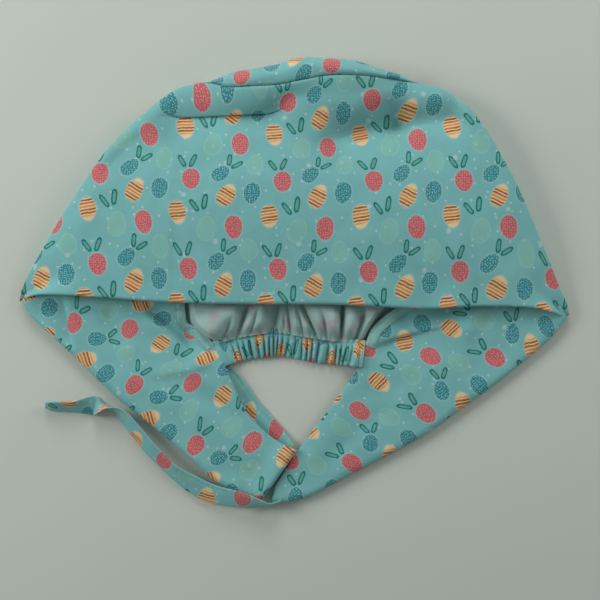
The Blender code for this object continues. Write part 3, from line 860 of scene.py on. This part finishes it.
def crown_roll(columns):
    """The strip behind the crown seam, rolled over the top and down to the table."""
    seam, top = trace(plan(CROWN_SEAM), columns), trace(plan(CROWN_TOP), columns)
    along_top = np.gradient(top, axis=0)
    outward = np.column_stack([-along_top[:, 1], along_top[:, 0]])
    outward /= np.linalg.norm(outward, axis=1)[:, None]
    seam_height = seam[:, 2:] * SEAM_HEIGHT
    start = seam[:, :2] + outward * 0.35 * MM
    away = ((top - start) * outward).sum(axis=1)[:, None]
    reach = np.clip(0.72 * away, 0.5 * MM, CROWN_TURN)
    puffed = seam_height + 1.3 * MM * ramp(away / (5 * MM))
    turn_at = top - outward * reach
    rows = []
    for share in np.linspace(0, 1, 26)[:-1]:
        place = start + (turn_at - start) * share
        height = seam_height + (puffed - seam_height) * np.sin(np.pi / 2 * share)
        rows.append(np.column_stack([place, height]))
    middle = (puffed + TABLE_GAP) / 2
    for angle in np.linspace(-np.pi / 2, np.pi / 2, 30):
        place = turn_at + outward * reach * np.cos(angle)
        rows.append(np.column_stack([place, middle - (middle - TABLE_GAP) * np.sin(angle)]))
    roll = np.stack(rows, axis=1)
    from_seam = walked(roll.transpose(1, 0, 2)).T
    roll[..., 2] -= rounded_edge(from_seam, 1.5 * MM, 1.4 * MM)
    loose = ramp(from_seam / (3 * MM)) * (roll[..., 2] > 3 * MM)
    roll[..., 2] += 0.3 * MM * uneven(roll, 0.02, 8) * loose
    return roll, turn_at


def nape_sheet(columns, turn_at):
    """The stretch that lies inside the cap, from the roll to the gathers at the casing."""
    shares = 1 - (1 - np.linspace(0, 1, 150)) ** 1.5
    at = np.linspace(0, 1, 400)
    sides = [side_of_back(inner, len(at)) for inner in (LEFT_INNER, RIGHT_INNER)]
    left, right = (
        np.column_stack([np.interp(shares, at, column) for column in side.T]) for side in sides
    )
    under = turn_at.copy()
    under[0], under[-1] = left[0], right[0]
    grid = patch(under, casing_line(columns), left, right, shares)
    to_casing = walked(grid[:, ::-1].transpose(1, 0, 2)).T[:, ::-1]
    share = np.linspace(0, 1, columns)[:, None]
    height = 2 * TABLE_GAP + gathered(grid, to_casing, share)
    height += 0.25 * MM * uneven(grid, 0.03, 12) * ramp(to_casing / (8 * MM))
    return np.dstack([grid, np.maximum(height, TABLE_GAP)])


def back_panel():
    """The roll and the stretch inside the cap, in one piece of cloth."""
    columns = 240
    roll, turn_at = crown_roll(columns)
    grid = np.concatenate([roll, nape_sheet(columns, turn_at)[:, 1:]], axis=1)
    across = walked(grid)
    across -= across[columns // 2]
    up = walked(grid.transpose(1, 0, 2)).T
    places = np.stack([0.011 - across, 0.008 - up], axis=-1)
    piece = sew("back_panel_cloth", grid, places, PRINTED, WRONG_SIDE)
    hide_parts("back_panel")


back_panel()

# The elastic casing is the nape's hem: cloth stitched down round a narrow elastic, which draws it into
# small pleats. A raw ruffled header stands above the stitching.
CASING_DEPTH = 0.0125
CASING_HEIGHT = 0.0058
RUFFLE_DEPTH = 0.0052
CASING_CLOTH = 0.160  # length of cloth that the elastic draws in
ENDS_LIFT = 0.0036  # of the casing's ends, over the bands
TAB_START = (-0.322, -0.243)  # across, along: the flat tab's end on the left band
CASING_SECTION = (  # across from the stitching, up, share of the ruffles
    (-0.20, 0.20, 0.6),
    (-0.19, 0.52, 1.0),
    (-0.10, 0.62, 1.0),
    (0.00, 0.50, 0.6),
    (0.07, 0.42, 0.3),
    (0.16, 0.68, 0.7),
    (0.32, 0.94, 0.9),
    (0.60, 1.00, 1.0),
    (0.84, 0.88, 1.0),
    (0.96, 0.62, 0.9),
    (1.00, 0.34, 0.8),
    (0.96, 0.12, 0.2),
    (0.70, 0.07, 0.0),
    (0.30, 0.07, 0.0),
    (-0.12, 0.07, 0.0),
)
RAMP = 0.014  # run in which a sheet climbs on to another
LAYER = 0.0013  # height of one layer of the right band
FOLDED_TIE = 0.0015  # height of the tie under the left band
LEFT_RIM = (  # across, along
    (-1.000, 0.000),
    (-0.963, -0.087),
    (-0.894, -0.170),
    (-0.798, -0.290),
    (-0.655, -0.474),
    (-0.511, -0.626),
    (-0.381, -0.778),
    (-0.298, -0.876),
    (-0.215, -0.938),
    (-0.123, -0.976),
)
RIGHT_RIM = (  # across, along
    (1.000, -0.087),
    (0.949, -0.175),
    (0.886, -0.248),
    (0.754, -0.393),
    (0.622, -0.519),
    (0.490, -0.645),
    (0.358, -0.743),
    (0.226, -0.835),
    (0.138, -0.898),
    (0.050, -0.956),
    (-0.035, -0.985),
    (-0.090, -0.990),
)
LEFT_TIE_OPEN_EDGE = (  # across, along
    (0.006, -0.726),
    (-0.039, -0.636),
    (-0.088, -0.563),
    (-0.138, -0.485),
    (-0.174, -0.413),
    (-0.222, -0.340),
    (-0.268, -0.300),
)
LEFT_TIE_HIDDEN_EDGE = (  # across, along
    (-0.105, -0.925),
    (-0.119, -0.777),
    (-0.163, -0.660),
    (-0.200, -0.573),
    (-0.240, -0.495),
    (-0.281, -0.422),
    (-0.328, -0.366),
)


def height_over(points, edge_a, edge_b, height):
    """What a sheet rises by to pass over another one that lies between two edges."""
    spine, half_width = (edge_a + edge_b) / 2, np.linalg.norm(edge_a - edge_b, axis=1) / 2
    nearest = np.full(points.shape[:-1], 1.0)
    for centre, radius in zip(spine, half_width):
        away = np.hypot(points[..., 0] - centre[0], points[..., 1] - centre[1]) - radius
        nearest = np.minimum(nearest, away)
    return height * ramp(1 - nearest / RAMP)


def over_right_band(points):
    """What a sheet rises by to pass over the right band's end."""
    rim = trace(plan(RIGHT_RIM), 60)[30:]
    inner = trace(plan(RIGHT_INNER[INNER_AT_CASING + 1 :]), 30)
    return height_over(points, rim, inner, 2 * LAYER)


def left_heights(points):
    """Height that the left band gains over the folded tie and the right band's end."""
    open_edge, hidden = trace(plan(LEFT_TIE_OPEN_EDGE), 30), trace(plan(LEFT_TIE_HIDDEN_EDGE), 30)
    return over_right_band(points) + height_over(points, open_edge, hidden, FOLDED_TIE)


def elastic_casing():
    """The ruffled tube with a flat tab at its left, and the groove that its stitching presses."""
    count = 560
    line = trace(np.vstack([plan([TAB_START]), casing_line(40)]), count)
    heading = np.gradient(line, axis=0)
    heading /= np.linalg.norm(heading, axis=1)[:, None]
    down = np.column_stack([heading[:, 1], -heading[:, 0]])
    share = np.linspace(0, 1, count)
    ends = ramp((share - 0.10) / 0.08) * ramp((1 - share) / 0.04)
    ridge = pleat_ridges(share)
    raised = (1 - ramp(np.minimum(share, 1 - share) / 0.10 - 0.7)) * ENDS_LIFT
    section = smooth_line(np.array(CASING_SECTION), 4)
    rings = []
    for across, up, ruffled in section:
        lean = (0.010 * np.sin(14 * share + 2) + 0.006 * np.sin(37 * share)) * across
        bumpy = np.interp(share + lean, share, ridge) * ends + (1 - ends) * 0.6
        scallop = (bumpy - 0.5) * 1.3 * MM * np.clip((across - 0.5) / 0.5, 0, 1)
        scallop -= (bumpy - 0.5) * 0.8 * MM * np.clip(-across / 0.2, 0, 1)
        place = line + down * (0.3 * MM + across * CASING_DEPTH + scallop)[:, None]
        top = (CASING_HEIGHT - RUFFLE_DEPTH * (1 - bumpy) * ruffled) * (0.45 + 0.55 * ends)
        top *= 0.3 + 0.7 * ramp(share / 0.05)
        rings.append(np.column_stack([place, raised + left_heights(place) * 0.9 + up * top]))
    grid = np.stack(rings, axis=1)
    # Each end is closed by drawing its last ring together
    middle = grid.mean(axis=1, keepdims=True)
    first, last = (middle[k] + (grid[k] - middle[k]) * 0.02 for k in (0, -1))
    shut = np.concatenate([first[None], grid, last[None]])
    along = np.concatenate([share[:1], share, share[-1:]])[:, None] * CASING_CLOTH + 0.0150
    round_it = walked(shut.transpose(1, 0, 2)).T
    places = np.stack([along + np.zeros_like(round_it), -0.004 - round_it], axis=-1)
    piece = sew("elastic_casing_cloth", shut, places, PRINTED, PRINTED, round_it=True)
    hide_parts("elastic_casing")
    groove = int(np.argmin(np.abs(section[:, 0] - 0.07) + (section[:, 1] < 0.3)))
    return grid[int(0.08 * count) :, groove]


casing_groove = elastic_casing()

# The two sides of the cap lie flat on the table under the front panel, wrong side up, and taper into
# the bands that go round the nape. They are cut as mirror pieces and curl up to the front panel.
RIM_HEIGHT = 0.0036  # of the folded rims above the table
BAND_TOP = 0.00085  # of the flat band's upper side above the table


def band_end(rim, inner, fold, rows):
    """Plan of one side, from its rim to its inner seam."""
    seam = trace(plan(inner)[: INNER_AT_CASING + 1], 90)
    end = np.vstack([seam, trace(plan(inner)[INNER_AT_CASING:], 80)[1:]])
    start = trace(plan(rim), len(end))
    fold_line = np.vstack([start[0], trace(plan(fold), rows)[1:-1, :2], end[0]])
    shares = np.linspace(0, 1, rows)
    return patch(start, end, fold_line, straight(start[-1], end[-1], shares), shares)


def side_band(name, rim, inner, fold, left):
    """One side of the cap, curled up at its rim and where it joins the front panel."""
    rows = 70
    grid = band_end(rim, inner, fold, rows)
    height = np.full(grid.shape[:2], TABLE_GAP) + 0.12 * MM * (1 + uneven(grid, 0.04, 21))
    to_rim = walked(grid.transpose(1, 0, 2)).T
    to_fold = walked(grid)
    curl = (RIM_HEIGHT - BAND_TOP) * (1 - ramp(to_rim / (5 * MM))) ** 1.5
    turned = trace(plan(fold), rows)[:, 2] * SEAM_HEIGHT - BAND_TOP
    curl = np.maximum(curl, turned * (1 - ramp(to_fold / (7 * MM))) ** 1.5)
    height += curl
    if left:
        height += left_heights(grid)
    else:
        grid = grid[::-1]
        height = height[::-1]
    grid = np.dstack([grid, height])
    piece = sew(f"{name}_cloth", grid, grid[..., :2], WRONG_SIDE, PRINTED)
    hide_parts(name)


side_band("left_side_band", LEFT_RIM, LEFT_INNER, LEFT_FOLD, True)
side_band("right_side_band", RIGHT_RIM, RIGHT_INNER, RIGHT_FOLD[::-1], False)

# The facings are the rest of each side piece, turned back over it along the rim with the printed side
# up. Their raw upper edges are overlocked.
FACING_HEIGHT = 0.0052
FACING_ROUNDING = 0.003  # in from its edges, which drop by so much:
RAW_EDGE_DROP = 0.0007
FOLD_END_DROP = 0.0022
LEFT_FACING_TOP = (  # across, along
    (-0.800, 0.330),
    (-0.640, 0.220),
    (-0.500, 0.130),
    (-0.416, 0.040),
    (-0.404, -0.050),
    (-0.396, -0.112),
    (-0.350, -0.142),
    (-0.297, -0.218),
    *LEFT_INNER[INNER_AT_CASING + 1 :],
)
RIGHT_FACING_TOP = (  # across, along
    (0.830, 0.250),
    (0.700, 0.160),
    (0.560, 0.070),
    (0.400, -0.020),
    *RIGHT_INNER[INNER_AT_CASING - 1 :],
)
LEFT_BAND_FOLDS = (  # from x, from y, to x, to y, bow, rise, breadth below, breadth above; mm
    (-82.0, -12.0, -54.0, -35.0, 1, -3.6, 3.5, 8),
    (-84.0, -18.0, -60.0, -41.0, 1, 1.1, 5, 4),
    (-77.3, -49.5, -45.9, -42.9, -1, 1.3, 3, 5),
    (-128.0, -8.0, -123.0, -34.0, 0, -2.8, 11, 1.8),
    (-104.0, -14.0, -92.0, -36.0, -1, -0.9, 5, 4),
    (-96.0, -34.0, -66.0, -44.0, 2, 0.8, 5, 5),
    (-100.0, -46.0, -40.0, -86.0, 3, 1.0, 8, 8),
    (-60.0, -52.0, -26.0, -76.0, -3, -0.8, 7, 7),
    (-52.0, -64.0, -20.0, -96.0, -2, 0.9, 6, 6),
    (-46.0, -102.0, -16.0, -108.0, 1, -0.7, 5, 5),
)
RIGHT_BAND_FOLDS = (  # the same columns
    (43.7, -36.0, 83.0, -25.5, 1, -3.0, 7, 2),
    (54.0, -20.0, 92.0, -14.0, 1, -3.4, 7, 6),
    (70.0, -30.0, 104.0, -24.0, 2, 1.0, 5, 6),
    (112.0, -14.0, 98.0, -38.0, -2, -0.8, 5, 6),
    (100.0, -25.0, 60.0, -62.0, 3, 1.0, 9, 9),
    (72.0, -52.0, 34.0, -60.0, 2, -0.8, 6, 6),
    (30.0, -60.0, 5.0, -100.0, 2, 0.9, 6, 6),
    (58.0, -66.0, 18.0, -98.0, -2, -0.6, 5, 5),
    (120.0, -20.0, 96.0, -50.0, 2, -0.8, 8, 8),
)
LEFT_CREEP = (  # x, y, how far to the right, how far up; millimetres
    (-139, -14, 9.0, 0.1),
    (-122, -21, 2.6, -1.6),
    (-109, -30, 3.0, -2.8),
    (-91, -23, 2.0, -3.6),
    (-86, -13, 0.8, -6.0),
    (-75, -23, -2.8, -10.5),
    (-74, -38, 0.6, 0.0),
    (-58, -30, 1.0, -6.5),
    (-88, -54, 2.8, -0.6),
    (-55, -53, 1.8, 1.6),
    (-40, -61, -1.6, 1.8),
    (-109, -45, 3.2, -2.6),
    (-74, -78, 1.9, -0.6),
    (-55, -88, 0.0, 0.2),
    (-24, -86, -2.4, 2.4),
    (-6, -93, -1.6, 3.4),
)
RIGHT_CREEP = (  # the same columns
    (74, -39, -2.1, -2.0),
    (110, -41, 0.0, -0.3),
    (75, -43, -1.4, 1.2),
    (61, -33, -0.7, -6.4),
    (71, -24, -0.2, -6.8),
    (86, -25, -1.7, -4.5),
    (36, -70, -0.7, -3.0),
    (73, -71, 2.3, -1.0),
    (31, -97, 1.0, 2.5),
    (46, -54, -1.2, -3.6),
    (93, -66, 2.3, -1.0),
    (131, -33, 1.4, 0.2),
    (142, -22, -4.4, 3.4),
    (53, -92, 2.8, 0.2),
    (50, -26, -3.0, -4.1),
)


def facing(name, rim, top, folds, creep, anchor, degrees, left):
    """One facing, from its folded rim to its raw edge; its print's first egg is at the anchor."""
    start, end = trace(plan(rim), 260), trace(plan(top), 260)
    shares = np.linspace(0, 1, 90)
    grid = patch(start, end, straight(start[0], end[0], shares),
                 straight(start[-1], end[-1], shares), shares)
    # The layers part a little between the folded rim and the nape opening's edge
    to_rim = walked(grid.transpose(1, 0, 2)).T
    rumpled = soft_folds(grid, folds) + 0.45 * MM * uneven(grid, 0.05, 31 + left)
    rumpled += 0.15 * MM * uneven(grid, 0.016, 33 + left)
    height = FACING_HEIGHT + rumpled * ramp(to_rim / (4 * MM))
    to_edge = walked(grid[:, ::-1].transpose(1, 0, 2)).T[:, ::-1]
    to_end = walked(grid[::-1])[::-1]
    height -= rounded_edge(to_rim, 4 * MM, FACING_HEIGHT - RIM_HEIGHT)
    height -= rounded_edge(to_edge, FACING_ROUNDING, RAW_EDGE_DROP)
    height -= rounded_edge(to_end, FACING_ROUNDING, FOLD_END_DROP)
    if left:
        height += left_heights(grid)
    grid = np.dstack([grid, np.maximum(height, 1.2 * MM)])
    if not left:
        grid = grid[::-1]
    flat = let_out(grid, np.array(anchor) * MM) - crept(grid, creep)
    flat = print_at(grid, flat, anchor, degrees)
    piece = sew(f"{name}_cloth", grid, flat, PRINTED, WRONG_SIDE)
    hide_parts(name)
    return grid


left_facing = facing(
    name="left_facing",
    rim=LEFT_RIM,
    top=LEFT_FACING_TOP,
    folds=LEFT_BAND_FOLDS,
    creep=LEFT_CREEP,
    anchor=(-54.7, -88.6),
    degrees=-44,
    left=True,
)
right_facing = facing(
    name="right_facing",
    rim=RIGHT_RIM,
    top=RIGHT_FACING_TOP,
    folds=RIGHT_BAND_FOLDS,
    creep=RIGHT_CREEP,
    anchor=(110.3, -40.6),
    degrees=37,
    left=False,
)

# The ties are straight strips folded in four and edge-stitched. The left one is folded back under the
# end of its band. The right one hangs free and twists twice.
TIE_WIDTH = 0.0105
TIE_THICKNESS = 0.0014
TIE_POINTS = 44  # round a tie's section
STITCH_ACROSS = 0.68  # place of the edge stitching, from the middle to the edge
TIE_GAP = 0.0002  # from the table up to a lying tie
RIGHT_TIE = (  # across, along, width, lean in degrees, lift in millimetres
    (-0.050, -0.978, 0.45, 84.0, 2.5),
    (-0.092, -0.993, 0.75, 78.0, 3.0),
    (-0.141, -0.984, 1.00, 56.0, 3.4),
    (-0.211, -0.968, 1.00, 30.0, 3.2),
    (-0.305, -0.944, 1.10, 22.0, 1.6),
    (-0.379, -0.895, 1.10, 28.0, 0.4),
    (-0.449, -0.832, 1.00, 42.0, 0.0),
    (-0.521, -0.739, 1.00, 43.0, 0.0),
    (-0.572, -0.659, 1.00, 44.0, 0.0),
    (-0.636, -0.557, 0.98, 54.0, 0.0),
    (-0.682, -0.526, 0.92, 86.0, 0.0),
    (-0.712, -0.520, 0.95, 124.0, 0.0),
    (-0.750, -0.516, 1.00, 196.0, 0.4),
    (-0.806, -0.521, 1.00, 230.0, 0.2),
    (-0.885, -0.519, 0.95, 236.0, 0.0),
    (-0.916, -0.512, 0.60, 236.0, 0.0),
)


def tie_section():
    """How far across and up each point round a tie's section is, from -1 to 1."""
    around = np.linspace(0, 2 * np.pi, TIE_POINTS, endpoint=False)
    flat_way = np.sign(np.cos(around)) * np.abs(np.cos(around)) ** 0.75
    thick_way = np.sign(np.sin(around)) * np.abs(np.sin(around)) ** 0.55
    return flat_way, thick_way


def tie_rings(route, width, lean, middle):
    """A rounded flat ribbon swept along a route, with the groove that its stitching presses."""
    heading = np.gradient(route[:, :2], axis=0)
    heading /= np.linalg.norm(heading, axis=1)[:, None]
    sideways = np.column_stack([heading[:, 1], -heading[:, 0]])
    flat_way, thick_way = tie_section()
    groove = 1 - 0.45 * np.exp(-(((flat_way - STITCH_ACROSS) / 0.10) ** 2))
    a = flat_way[None] * width[:, None] / 2
    b = thick_way[None] * groove[None] * TIE_THICKNESS / 2
    turned = np.cos(lean)[:, None] * a - np.sin(lean)[:, None] * b
    rise = np.sin(lean)[:, None] * a + np.cos(lean)[:, None] * b
    grid = np.empty((*turned.shape, 3))
    grid[..., :2] = route[:, None, :2] + sideways[:, None] * turned[..., None]
    grid[..., 2] = middle[:, None] + rise
    return grid


def sew_tie(name, grid):
    """A tie as one closed piece, with its ends drawn together."""
    middle = grid.mean(axis=1, keepdims=True)
    first, last = (middle[k] + (grid[k] - middle[k]) * 0.03 for k in (0, -1))
    grid = np.concatenate([first[None], grid, last[None]])
    along = walked(grid).mean(axis=1, keepdims=True)
    round_it = walked(grid.transpose(1, 0, 2)).T
    places = np.stack([along + np.zeros_like(round_it), round_it + 0.02], axis=-1)
    piece = sew(f"{name}_cloth", grid, places, PRINTED, PRINTED, round_it=True)
    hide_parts(name)


def left_tie():
    """The folded-back tie, a flat strip between its two edges."""
    open_edge, hidden = trace(plan(LEFT_TIE_OPEN_EDGE), 120), trace(plan(LEFT_TIE_HIDDEN_EDGE), 120)
    route = (open_edge + hidden) / 2
    middle = TIE_THICKNESS / 2 + TIE_GAP + over_right_band(route[:, None])[:, 0]
    grid = tie_rings(route, np.ones(len(route)), np.zeros(len(route)), middle)
    flat_way = tie_section()[0]
    grid[..., :2] = route[:, None, :2] + (open_edge - hidden)[:, None, :2] / 2 * flat_way[:, None]
    sew_tie("left_tie", grid[4:])


def right_tie():
    """The free tie along its route, wider or narrower and leaning as its twists turn it."""
    route = trace(plan(RIGHT_TIE), 420)
    width, lean = route[:, 2] * TIE_WIDTH, np.radians(route[:, 3])
    middle = TIE_GAP + TIE_THICKNESS / 2 * np.abs(np.cos(lean))
    middle += width / 2 * np.abs(np.sin(lean)) + route[:, 4] * MM
    grid = tie_rings(route, width, lean, middle)
    sew_tie("right_tie", grid)
    return grid


left_tie()
free_tie = right_tie()

# The raw edges of the facings are overlocked with loops of pale spun thread, and the casing and the
# free tie are lockstitched.
THREAD_RADIUS = 0.00018
THREAD_COLOUR = linear(146, 196, 192)
OVERLOCK_WIDTH = 0.0055
OVERLOCK_PITCH = 0.0008
STITCH = 0.0024
STITCH_GAP = 0.0007


def thread_material():
    """Matt spun polyester, with its twist as fine slanting bump."""
    material, tree, shader = new_material("spun_thread", 0.7, 0.2)
    shader.inputs["Base Color"].default_value = THREAD_COLOUR
    twist = add_node(tree, "TexWave", add_node(tree, "TexCoord", out=3), 900.0)
    tree.links.new(add_node(tree, "Bump", 0.4, 0.00005, 1.0, twist), shader.inputs["Normal"])
    return material


THREAD_LOOK = thread_material()


def surface_of(grid):
    """Height of a piece's top at places of the plan."""
    tree = BVHTree.FromPolygons(grid.reshape(-1, 3).tolist(), grid_faces(*grid.shape[:2]))

    def height_at(points):
        hits = [tree.ray_cast(Vector((x, y, 1)), Vector((0, 0, -1)))[0] for x, y in points]
        return np.array([np.nan if hit is None else hit.z for hit in hits])

    return height_at


def thread_mesh(name, paths, radius=THREAD_RADIUS, sides=5):
    """Round threads laid along paths, as one piece."""
    points, faces, start = [], [], 0
    for path in paths:
        heading = np.gradient(path, axis=0)
        heading /= np.linalg.norm(heading, axis=1)[:, None] + 1e-12
        side = np.cross(heading, (0, 0, 1))
        side /= np.linalg.norm(side, axis=1)[:, None] + 1e-12
        up = np.cross(side, heading)
        angle = np.linspace(0, 2 * np.pi, sides, endpoint=False)
        thick = np.full(len(path), radius)
        thick[[0, -1]] = radius * 0.3
        ring = side[:, None] * np.cos(angle)[:, None] + up[:, None] * np.sin(angle)[:, None]
        tube = path[:, None] + ring * thick[:, None, None]
        points.append(tube.reshape(-1, 3))
        faces += [[start + k for k in face] for face in grid_faces(len(path), sides, True)]
        start += tube.shape[0] * sides
    mesh = bpy.data.meshes.new(name)
    mesh.from_pydata(np.vstack(points).tolist(), [], faces)
    mesh.materials.append(THREAD_LOOK)
    mesh.shade_smooth()
    piece = bpy.data.objects.new(name, mesh)
    bpy.context.scene.collection.objects.link(piece)
    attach(piece, "root")


def overlock(name, edge, grid, side):
    """Loops that wrap a raw edge, and the needle line that holds them."""
    height_at = surface_of(grid)
    count = int(walked(edge)[-1] / OVERLOCK_PITCH * 10)
    line = trace(edge, count)
    heading = np.gradient(line, axis=0)
    heading /= np.linalg.norm(heading, axis=1)[:, None]
    inward = np.column_stack([-heading[:, 1], heading[:, 0]]) * side
    turn = np.linspace(0, 2 * np.pi * count / 10, count)
    paths = []
    for phase, reach in ((0.0, 1.0), (np.pi, 0.94)):
        across = OVERLOCK_WIDTH * reach * (0.5 - 0.5 * np.cos(turn + phase)) - 0.4 * MM
        slip = 0.35 * OVERLOCK_PITCH * np.sin(turn + phase)
        paths.append((line + inward * across[:, None] + heading * slip[:, None], 0.20 * MM))
    across = OVERLOCK_WIDTH * 0.9 + 0.15 * MM * np.sin(turn)
    paths.append((line + inward * across[:, None], 0.32 * MM))
    across = 0.2 * MM * np.sin(turn) - 0.1 * MM
    paths.append((line + inward * across[:, None], 0.25 * MM))
    laid = []
    for path, above in paths:
        height = height_at(path)
        known = ~np.isnan(height)
        height = np.interp(np.arange(len(height)), np.arange(len(height))[known], height[known])
        laid.append(np.column_stack([path, height + POPLIN / 2 + above]))
    thread_mesh(name, laid)


def lockstitch(name, seam):
    """A row of single stitches along a seam, each dipping into the cloth at its ends."""
    far = walked(seam)
    paths = []
    for start in np.arange(0, far[-1] - STITCH, STITCH + STITCH_GAP):
        at = np.linspace(start, start + STITCH, 7)
        path = np.column_stack([np.interp(at, far, column) for column in seam.T])
        path[:, 2] += 0.22 * MM * np.sin(np.linspace(0, np.pi, 7)) ** 0.5 - 0.08 * MM
        paths.append(path)
    thread_mesh(name, paths, THREAD_RADIUS * 0.8)


lockstitch("casing_stitching", casing_groove)
tie_side = int(np.argmin(np.abs(tie_section()[0][: TIE_POINTS // 4] - STITCH_ACROSS)))
turned_at = int(0.62 * len(free_tie))  # where the tie turns its stitched side down
lockstitch("tie_stitching", free_tie[8:turned_at, tie_side])
overlock("left_overlock", plan(LEFT_FACING_TOP[1:8]), left_facing, -1)
overlock("right_overlock", plan(RIGHT_FACING_TOP[1:6]), right_facing, 1)
